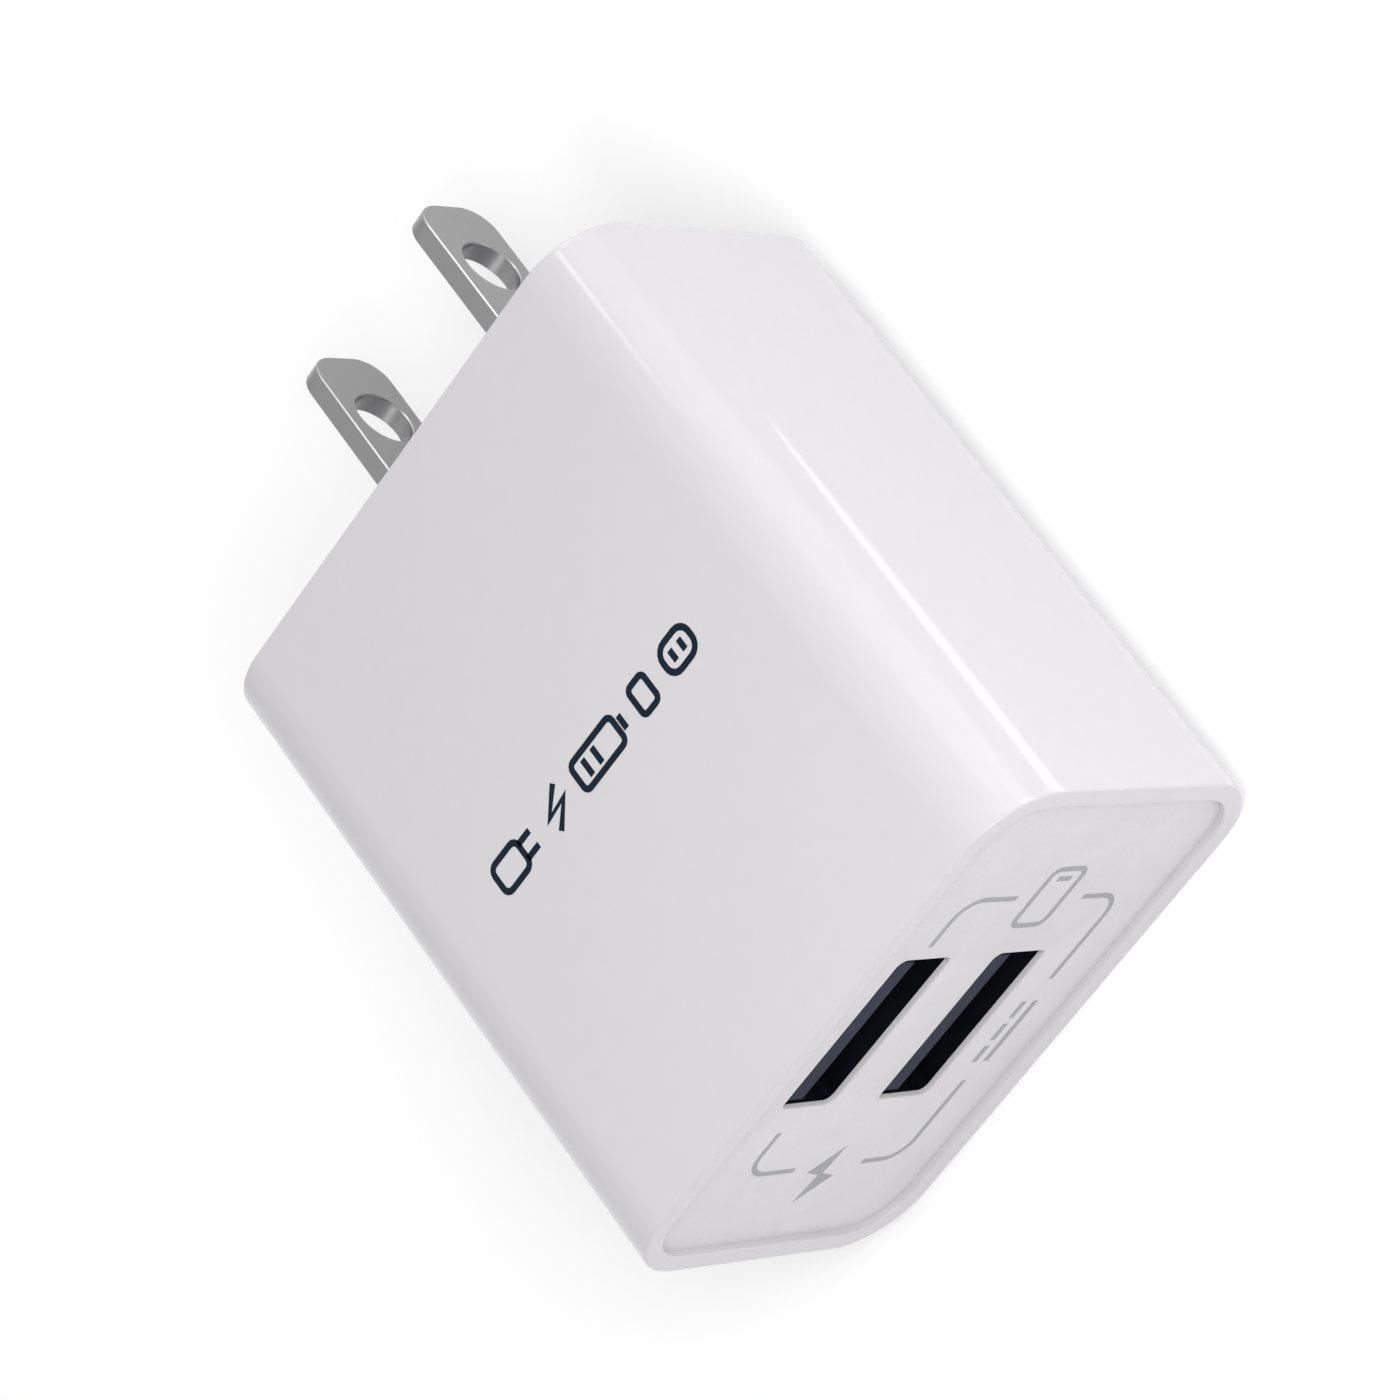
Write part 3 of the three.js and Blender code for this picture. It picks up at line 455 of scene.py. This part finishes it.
def make_casing():
    front = shell_low.y
    window = rounded_outline(*WINDOW_SIZE, WINDOW_RADIUS, guard=EDGE_GUARD)
    cavity = rounded_outline(
        PORT_END_WIDTH - 2 * SHELL_WALL,
        BODY_DEPTH - 2 * SHELL_WALL,
        CORNER_RADIUS - SHELL_WALL,
        guard=EDGE_GUARD,
    )
    rings = [on_xz(window, -END_WALL), on_xz(window, 0.0)]
    rings += fillet_rings(body_ring, WALL_END_FILLET, 0.0, 0.0, -WALL_END_FILLET)
    rings.append(body_ring(0.0, -WALL_END_FILLET - EDGE_GUARD))
    rings.append(body_ring(0.0, front + PORT_END_FILLET + EDGE_GUARD))
    rings += fillet_rings(
        body_ring, 0.0, front + PORT_END_FILLET, PORT_END_FILLET, front, inset_first=False
    )
    rings += fillet_rings(mouth_ring, -MOUTH_FILLET, front, 0.0, front + MOUTH_FILLET)
    rings += [mouth_ring(0.0, PANEL_BACK), on_xz(cavity, PANEL_BACK), on_xz(cavity, -END_WALL)]
    return tube("casing", rings, board_rails(), casing_white)


# ---- Port panel ----
PORTS = ("usb_upper", "usb_lower")


def port_centre(port):
    """The middle of a socket's shell, as x and z."""
    low, high = box_mm(port + "_shell")
    return ((low.x + high.x) / 2, (low.z + high.z) / 2)


def make_panel():
    outer = [mouth_ring(-PANEL_PRESS, PANEL_FRONT), mouth_ring(-PANEL_PRESS, PANEL_BACK)]
    lip_back = PANEL_FRONT + LIP_THICKNESS
    holes = []
    for port in PORTS:
        centre = port_centre(port)
        low, high = box_mm(port + "_shell")
        seat_width = high.x - low.x + 2 * SEAT_GAP
        seat_height = high.z - low.z + 2 * SEAT_GAP

        def opening(grow, y):
            outline = rounded_outline(
                OPENING_SIZE[0] + 2 * grow, OPENING_SIZE[1] + 2 * grow, OPENING_RADIUS + grow, centre
            )
            return on_xz(outline, y)

        seat = rounded_outline(seat_width, seat_height, SOCKET_RADIUS, centre)
        holes.append(
            fillet_rings(opening, OPENING_CHAMFER, PANEL_FRONT, 0.0, PANEL_FRONT + OPENING_CHAMFER, 3)
            + [opening(0.0, lip_back), on_xz(seat, lip_back), on_xz(seat, PANEL_BACK)]
        )
    return plate("panel", outer, holes, panel_white)


# ---- Blades ----
def make_blade(node, name):
    low, high = box_mm(node)
    half = (high.z - low.z) / 2
    tip = high.y

    def outline(inset):
        radius = BLADE_TIP_RADIUS - inset
        points = [
            (low.y + inset, -BLADE_TAIL_HALF + inset),
            (BLADE_SHOULDER + inset, -BLADE_TAIL_HALF + inset),
            (BLADE_SHOULDER + inset, -half + inset),
        ]
        for centre_z, start in ((-half + BLADE_TIP_RADIUS, -0.5), (half - BLADE_TIP_RADIUS, 0.0)):
            points += quarter_arc((tip - BLADE_TIP_RADIUS, centre_z), radius, start)
        points += [(y, -z) for y, z in reversed(points[:3])]
        return points

    def outer_ring(inset, x):
        return on_yz(outline(inset), x)

    def hole_ring(grow, x):
        return on_yz(circle_outline(BLADE_HOLE_RADIUS + grow, (tip - BLADE_HOLE_FROM_TIP, 0.0)), x)

    def wall(ring):
        return [
            ring(BLADE_BEVEL, low.x),
            ring(0.0, low.x + BLADE_BEVEL),
            ring(0.0, high.x - BLADE_BEVEL),
            ring(BLADE_BEVEL, high.x),
        ]

    return plate(name, wall(outer_ring), [wall(hole_ring)], blade_nickel)


# ---- USB sockets ----
def make_socket_shell(port, name):
    low, high = box_mm(port + "_shell")
    board_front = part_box("port_board")[0][1] / MM
    width, height = high.x - low.x, high.z - low.z
    centre = port_centre(port)
    back = board_front - FIT

    def ring(inset, y):
        outline = rounded_outline(width - 2 * inset, height - 2 * inset, SOCKET_RADIUS - inset, centre)
        return on_xz(outline, y)

    rings = [
        ring(0.0, back),
        ring(0.0, low.y + SOCKET_EDGE),
        ring(SOCKET_EDGE, low.y),
        ring(SOCKET_SHEET - SOCKET_EDGE, low.y),
        ring(SOCKET_SHEET, low.y + SOCKET_EDGE),
        ring(SOCKET_SHEET, back),
    ]
    legs = []
    for x in (low.x, high.x - SOCKET_SHEET):
        leg_low = (x, back - FIT, centre[1] - SOCKET_LEG_HALF)
        leg_high = (x + SOCKET_SHEET, high.y, centre[1] + SOCKET_LEG_HALF)
        legs.append((leg_low, leg_high))
    # The shell and its legs take the painted shade of the openings' insides.
    return tube(name, rings, legs, socket_painted_shade)


# ---- Printed marks: flat ink, a hair above the surface ----
def thick_path(points, width, closed=False):
    """The outline of a line of one width through points, with mitred corners."""
    count = len(points)
    left, right = [], []
    for i, point in enumerate(points):
        here = Vector(point)
        before = Vector(points[i - 1]) if i or closed else None
        after = Vector(points[(i + 1) % count]) if i < count - 1 or closed else None
        arriving = (here - before).normalized() if before is not None else (after - here).normalized()
        leaving = (after - here).normalized() if after is not None else arriving
        middle = (arriving + leaving).normalized()
        normal = Vector((-middle.y, middle.x))
        offset = width / 2 / max(middle.dot(arriving), 0.5)
        left.append(here + normal * offset)
        right.append(here - normal * offset)
    return left, right


def add_line(bm, place, points, width, closed=False):
    """Adds a raised line along points. place turns (u, v, height) into a point in space."""
    left, right = thick_path(points, width, closed)
    low_left, low_right, high_left, high_right = (
        [bm.verts.new(place(*p, height)) for p in side]
        for height in (0.0, INK_HEIGHT)
        for side in (left, right)
    )
    count = len(points)
    for i in range(count if closed else count - 1):
        j = (i + 1) % count
        bm.faces.new((high_left[i], high_right[i], high_right[j], high_left[j]))
        bm.faces.new((low_left[j], low_right[j], low_right[i], low_left[i]))
        bm.faces.new((low_left[i], high_left[i], high_left[j], low_left[j]))
        bm.faces.new((low_right[j], high_right[j], high_right[i], low_right[i]))
    if not closed:
        for i in (0, count - 1):
            bm.faces.new((low_left[i], low_right[i], high_right[i], high_left[i]))


def add_patch(bm, place, points):
    """Adds a raised filled outline."""
    low = [bm.verts.new(place(*p, 0.0)) for p in points]
    high = [bm.verts.new(place(*p, INK_HEIGHT)) for p in points]
    bridge(bm, low, high)
    bm.faces.new(high)
    bm.faces.new(list(reversed(low)))


def on_panel(x, z, height):
    return Vector((x, PANEL_FRONT - height, z)) * MM


def on_top_face(x, y, height):
    return Vector((x, y, shell_high.z + height)) * MM


def make_panel_print():
    bm = bmesh.new()
    # Each corner bracket: its horizontal end, its corner, its vertical end.
    brackets = (
        ((-8.5, 6.85), (-12.2, 6.85), (-12.2, 2.4)),
        ((7.0, 7.1), (10.7, 7.1), (10.65, 2.65)),
        ((-5.4, -7.25), (-12.1, -7.25), (-12.1, -3.7)),
        ((3.35, -7.35), (10.45, -7.35), (10.45, -3.65)),
    )
    for start, corner, end in brackets:
        side = math.copysign(1.0, start[0] - corner[0])
        rise = math.copysign(1.0, end[1] - corner[1])
        centre = (corner[0] + side * BRACKET_RADIUS, corner[1] + rise * BRACKET_RADIUS)
        bend = [
            (
                centre[0] - side * BRACKET_RADIUS * math.sin(t),
                centre[1] - rise * BRACKET_RADIUS * math.cos(t),
            )
            for t in (0.5 * math.pi * i / 8 for i in range(9))
        ]
        add_line(bm, on_panel, [start, *bend, end], PANEL_LINE)
    # The symbol of direct current: a long bar beside three short ones.
    middle, long_half, short_half, pitch = -1.15, 2.6, 0.7, 1.9
    long_z, short_z = -7.75, -6.65
    add_line(bm, on_panel, [(middle - long_half, long_z), (middle + long_half, long_z)], DC_LINE)
    for x in (middle - pitch, middle, middle + pitch):
        add_line(bm, on_panel, [(x - short_half, short_z), (x + short_half, short_z)], DC_LINE)
    # A telephone outline with its screen line, on one side of the sockets.
    phone = rounded_outline(4.6, 2.9, 0.6, (10.6, -0.4), 5)
    add_line(bm, on_panel, phone, PHONE_LINE, closed=True)
    add_line(bm, on_panel, [(12.1, -1.0), (12.1, 0.2)], PHONE_LINE)
    # A lightning bolt on the other side.
    bolt = ((-10.4, -0.9), (-12.6, 0.9), (-12.9, -0.35), (-15.3, -0.1), (-13.1, -1.9), (-12.8, -0.65))
    add_patch(bm, on_panel, bolt)
    return finish_mesh(bm, "panel_print", ink_grey)


def make_face_print():
    """A row of plain line symbols: plug, bolt, battery, telephone and socket."""
    bm = bmesh.new()
    low, high = MARK_LOW, MARK_HIGH
    middle = (low + high) / 2
    height = high - low - MARK_LINE

    def stroke(points, closed=False):
        add_line(bm, on_top_face, points, MARK_LINE, closed)

    # Plug: a body with two blades.
    x = -9.2
    stroke(rounded_outline(2.6, height, 0.5, (x, middle), 4), closed=True)
    stroke([(x + 1.3, middle + 0.55), (x + 2.5, middle + 0.55)])
    stroke([(x + 1.3, middle - 0.55), (x + 2.5, middle - 0.55)])
    # Bolt.
    x = -4.2
    stroke([(x + 0.7, high), (x - 0.9, middle - 0.1), (x + 0.8, middle + 0.1), (x - 0.7, low)])
    # Battery with its cap and charge bars.
    x = 0.2
    stroke(rounded_outline(4.2, height, 0.4, (x, middle), 4), closed=True)
    stroke([(x + 2.6, middle - 0.5), (x + 2.6, middle + 0.5)])
    stroke([(x - 1.1, middle - 0.6), (x - 1.1, middle + 0.6)])
    stroke([(x - 0.1, middle - 0.6), (x - 0.1, middle + 0.6)])
    # Telephone.
    x = 5.0
    stroke(rounded_outline(1.5, height, 0.35, (x, middle), 4), closed=True)
    # Socket: an outline with two slots.
    x = 8.6
    stroke(rounded_outline(2.6, height, 0.8, (x, middle), 5), closed=True)
    stroke([(x - 0.45, middle - 0.4), (x - 0.45, middle + 0.4)])
    stroke([(x + 0.45, middle - 0.4), (x + 0.45, middle + 0.4)])
    return finish_mesh(bm, "face_print", ink_navy)


# ---- Putting the pieces on the frame ----
def stand_for(piece, slot, *nodes):
    """Puts a piece on the body, in place of the CAD nodes it redraws."""
    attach(piece, "root")
    if nodes:
        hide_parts(*nodes)


stand_for(make_casing(), "casing", "outer_shell")
stand_for(make_panel(), "panel", "port_panel")
stand_for(make_blade("blade_left", "left_blade"), "blade", "blade_left")
stand_for(make_blade("blade_right", "right_blade"), "blade", "blade_right")
stand_for(make_socket_shell("usb_upper", "upper_socket_shell"), "socket_metal", "usb_upper_shell")
stand_for(make_socket_shell("usb_lower", "lower_socket_shell"), "socket_metal", "usb_lower_shell")
stand_for(make_panel_print(), "panel")
stand_for(make_face_print(), "casing")

NODE_MATERIALS = {
    "blade_carrier": carrier_white,
    "contact_spring": spring_bronze,
    "main_board": solder_mask,
    "port_board": solder_mask,
    "link_pin": tin,
    "insulation_sheet": film_amber,
    "filter_choke_core": ferrite_grey,
    "filter_choke_winding": copper_wire,
    "transformer_core": ferrite_grey,
    "transformer_bobbin": black_plastic,
    "transformer_winding": yellow_tape,
    "transformer_tape": yellow_tape,
    "fusible_resistor": resistor_lacquer,
    "y_capacitor": blue_dip,
    "bridge_rectifier": black_plastic,
    "optocoupler": black_plastic,
    "controller_chip": black_plastic,
    "output_rectifier": black_plastic,
    "charge_port_chip": black_plastic,
}
NODE_ENDINGS = {
    "_can": aluminium,
    "_sleeve": black_sleeve,
    "_seal": black_rubber,
    "_tongue": tongue_slate,
}


def material_for(node):
    """The material of a CAD node that keeps its own mesh."""
    for start, material in NODE_MATERIALS.items():
        if node.startswith(start):
            return material
    for ending, material in NODE_ENDINGS.items():
        if node.endswith(ending):
            return material
    return contact_gold if "_contact_" in node else casing_white


for node_name, node_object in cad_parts.items():
    node_object.data.materials.clear()
    node_object.data.materials.append(material_for(node_name))


# ---- Stage, light and camera ----
FLOOR_HALF = 3.0
FLOOR_GAP = 0.02
FLOOR_GLOW = 0.06
WORLD_STRENGTH = 0.76


def soft_lamp(name, location, target, size, energy, shape="RECTANGLE"):
    """A flat lamp that faces its target and is not itself in the picture."""
    lamp = bpy.data.lights.new(name, "AREA")
    lamp.shape = shape
    lamp.size, lamp.size_y = size
    lamp.energy = energy
    holder = bpy.data.objects.new(name, lamp)
    bpy.context.scene.collection.objects.link(holder)
    holder.location = location
    aim = Vector(target) - Vector(location)
    holder.rotation_euler = aim.to_track_quat("-Z", "Y").to_euler()
    holder.visible_camera = False
    return holder


def lamp_round(name, target, distance, azimuth, elevation, size, energy):
    """A lamp in a direction from its target. The angles are in degrees, azimuth from +X to +Y."""
    turn, rise = math.radians(azimuth), math.radians(elevation)
    aim = Vector(
        (math.cos(rise) * math.cos(turn), math.cos(rise) * math.sin(turn), math.sin(rise))
    )
    return soft_lamp(name, Vector(target) + aim * distance, target, size, energy)


def make_floor():
    """A wide white sheet just under the face that the charger lies on."""
    mesh = bpy.data.meshes.new("floor")
    corners = [(x * FLOOR_HALF, y * FLOOR_HALF, 0.0) for x, y in ((-1, -1), (1, -1), (1, 1), (-1, 1))]
    mesh.from_pydata(corners, [], [(0, 1, 2, 3)])
    floor = bpy.data.objects.new("floor", mesh)
    floor.location.z = (shell_low.z - FLOOR_GAP) * MM
    bpy.context.scene.collection.objects.link(floor)
    material, _, shader = new_material("floor_white")
    shader.inputs["Base Color"].default_value = (0.93, 0.93, 0.93, 1.0)
    shader.inputs["Roughness"].default_value = 0.9
    shader.inputs["Specular IOR Level"].default_value = 0.0
    shader.inputs["Emission Color"].default_value = (1.0, 1.0, 1.0, 1.0)
    shader.inputs["Emission Strength"].default_value = FLOOR_GLOW
    mesh.materials.append(material)


# Softboxes: name, distance, azimuth, elevation, width and height, power in watts.
BODY_MIDDLE = (0.0, -0.0226, 0.0)
BODY_LAMPS = (
    ("back_right", 0.6, 50.0, 21.0, (0.75, 0.46), 1.22),
    ("low_right", 0.6, 5.0, 6.0, (0.3, 0.2), 0.68),
)
PORT_END = (0.005, -0.035, -0.002)
PORT_LAMPS = (("high_front", 0.15, 312.0, 52.0, (0.08, 0.08), 0.095),)
BLADE_MIDDLE = (0.0, 0.006, 0.003)
BLADE_LAMPS = (
    ("blade_hole_band", 0.6, 226.0, 56.0, (0.2, 0.2), 0.18),
    ("blade_card", 0.6, 134.0, 50.0, (0.36, 0.36), 0.07),
)

make_floor()
for target, lamps in (
    (BODY_MIDDLE, BODY_LAMPS),
    (PORT_END, PORT_LAMPS),
    (BLADE_MIDDLE, BLADE_LAMPS),
):
    for name, distance, azimuth, elevation, size, power in lamps:
        lamp_round(name, target, distance, azimuth, elevation, size, power)

# Three small lamps that only show as reflections: the bright line along the casing's rounded edge,
# the thin line on the same edge at the wall end, and the line along the blades' bevels.
EDGE_PLACE = Vector((0.0412, -0.033, -0.0119))
gleams = (
    soft_lamp(
        "edge_line", EDGE_PLACE, EDGE_PLACE + Vector((0, 0, 1)), (0.014, 0.064), 0.0047, "ELLIPSE"
    ),
    soft_lamp("wall_end_line", (0.2458, 0.2657, 0.3756), (0.0178, -0.002, 0.0114), (0.05, 0.04), 0.045),
    soft_lamp("blade_line", (0.0438, 0.0365, 0.0305), BLADE_MIDDLE, (0.02, 0.02), 0.004),
)
for gleam in gleams:
    gleam.visible_diffuse = False

world = bpy.data.worlds.new("studio")
world.use_nodes = True
world.node_tree.nodes["Background"].inputs["Color"].default_value = (1.0, 1.0, 1.0, 1.0)
world.node_tree.nodes["Background"].inputs["Strength"].default_value = WORLD_STRENGTH
bpy.context.scene.world = world
bpy.context.scene.view_settings.view_transform = "Standard"

CAMERA_PLACE = (155.967, -166.681, 251.2)
CAMERA_RIGHT = (0.538138, -0.537706, -0.649060)
CAMERA_UP = (0.698722, 0.715270, -0.013244)
CAMERA_LENS = 144.9

camera = bpy.data.objects.new("camera", bpy.data.cameras.new("camera"))
bpy.context.scene.collection.objects.link(camera)
right = Vector(CAMERA_RIGHT).normalized()
up = Vector(CAMERA_UP).normalized()
back = right.cross(up)
turn = Matrix((right, up, back)).transposed().to_4x4()
camera.matrix_world = Matrix.Translation(Vector(CAMERA_PLACE) * MM) @ turn
camera.data.lens = CAMERA_LENS
camera.data.sensor_width = 36.0
camera.data.clip_start = 0.01
camera.data.clip_end = 10.0
bpy.context.scene.camera = camera
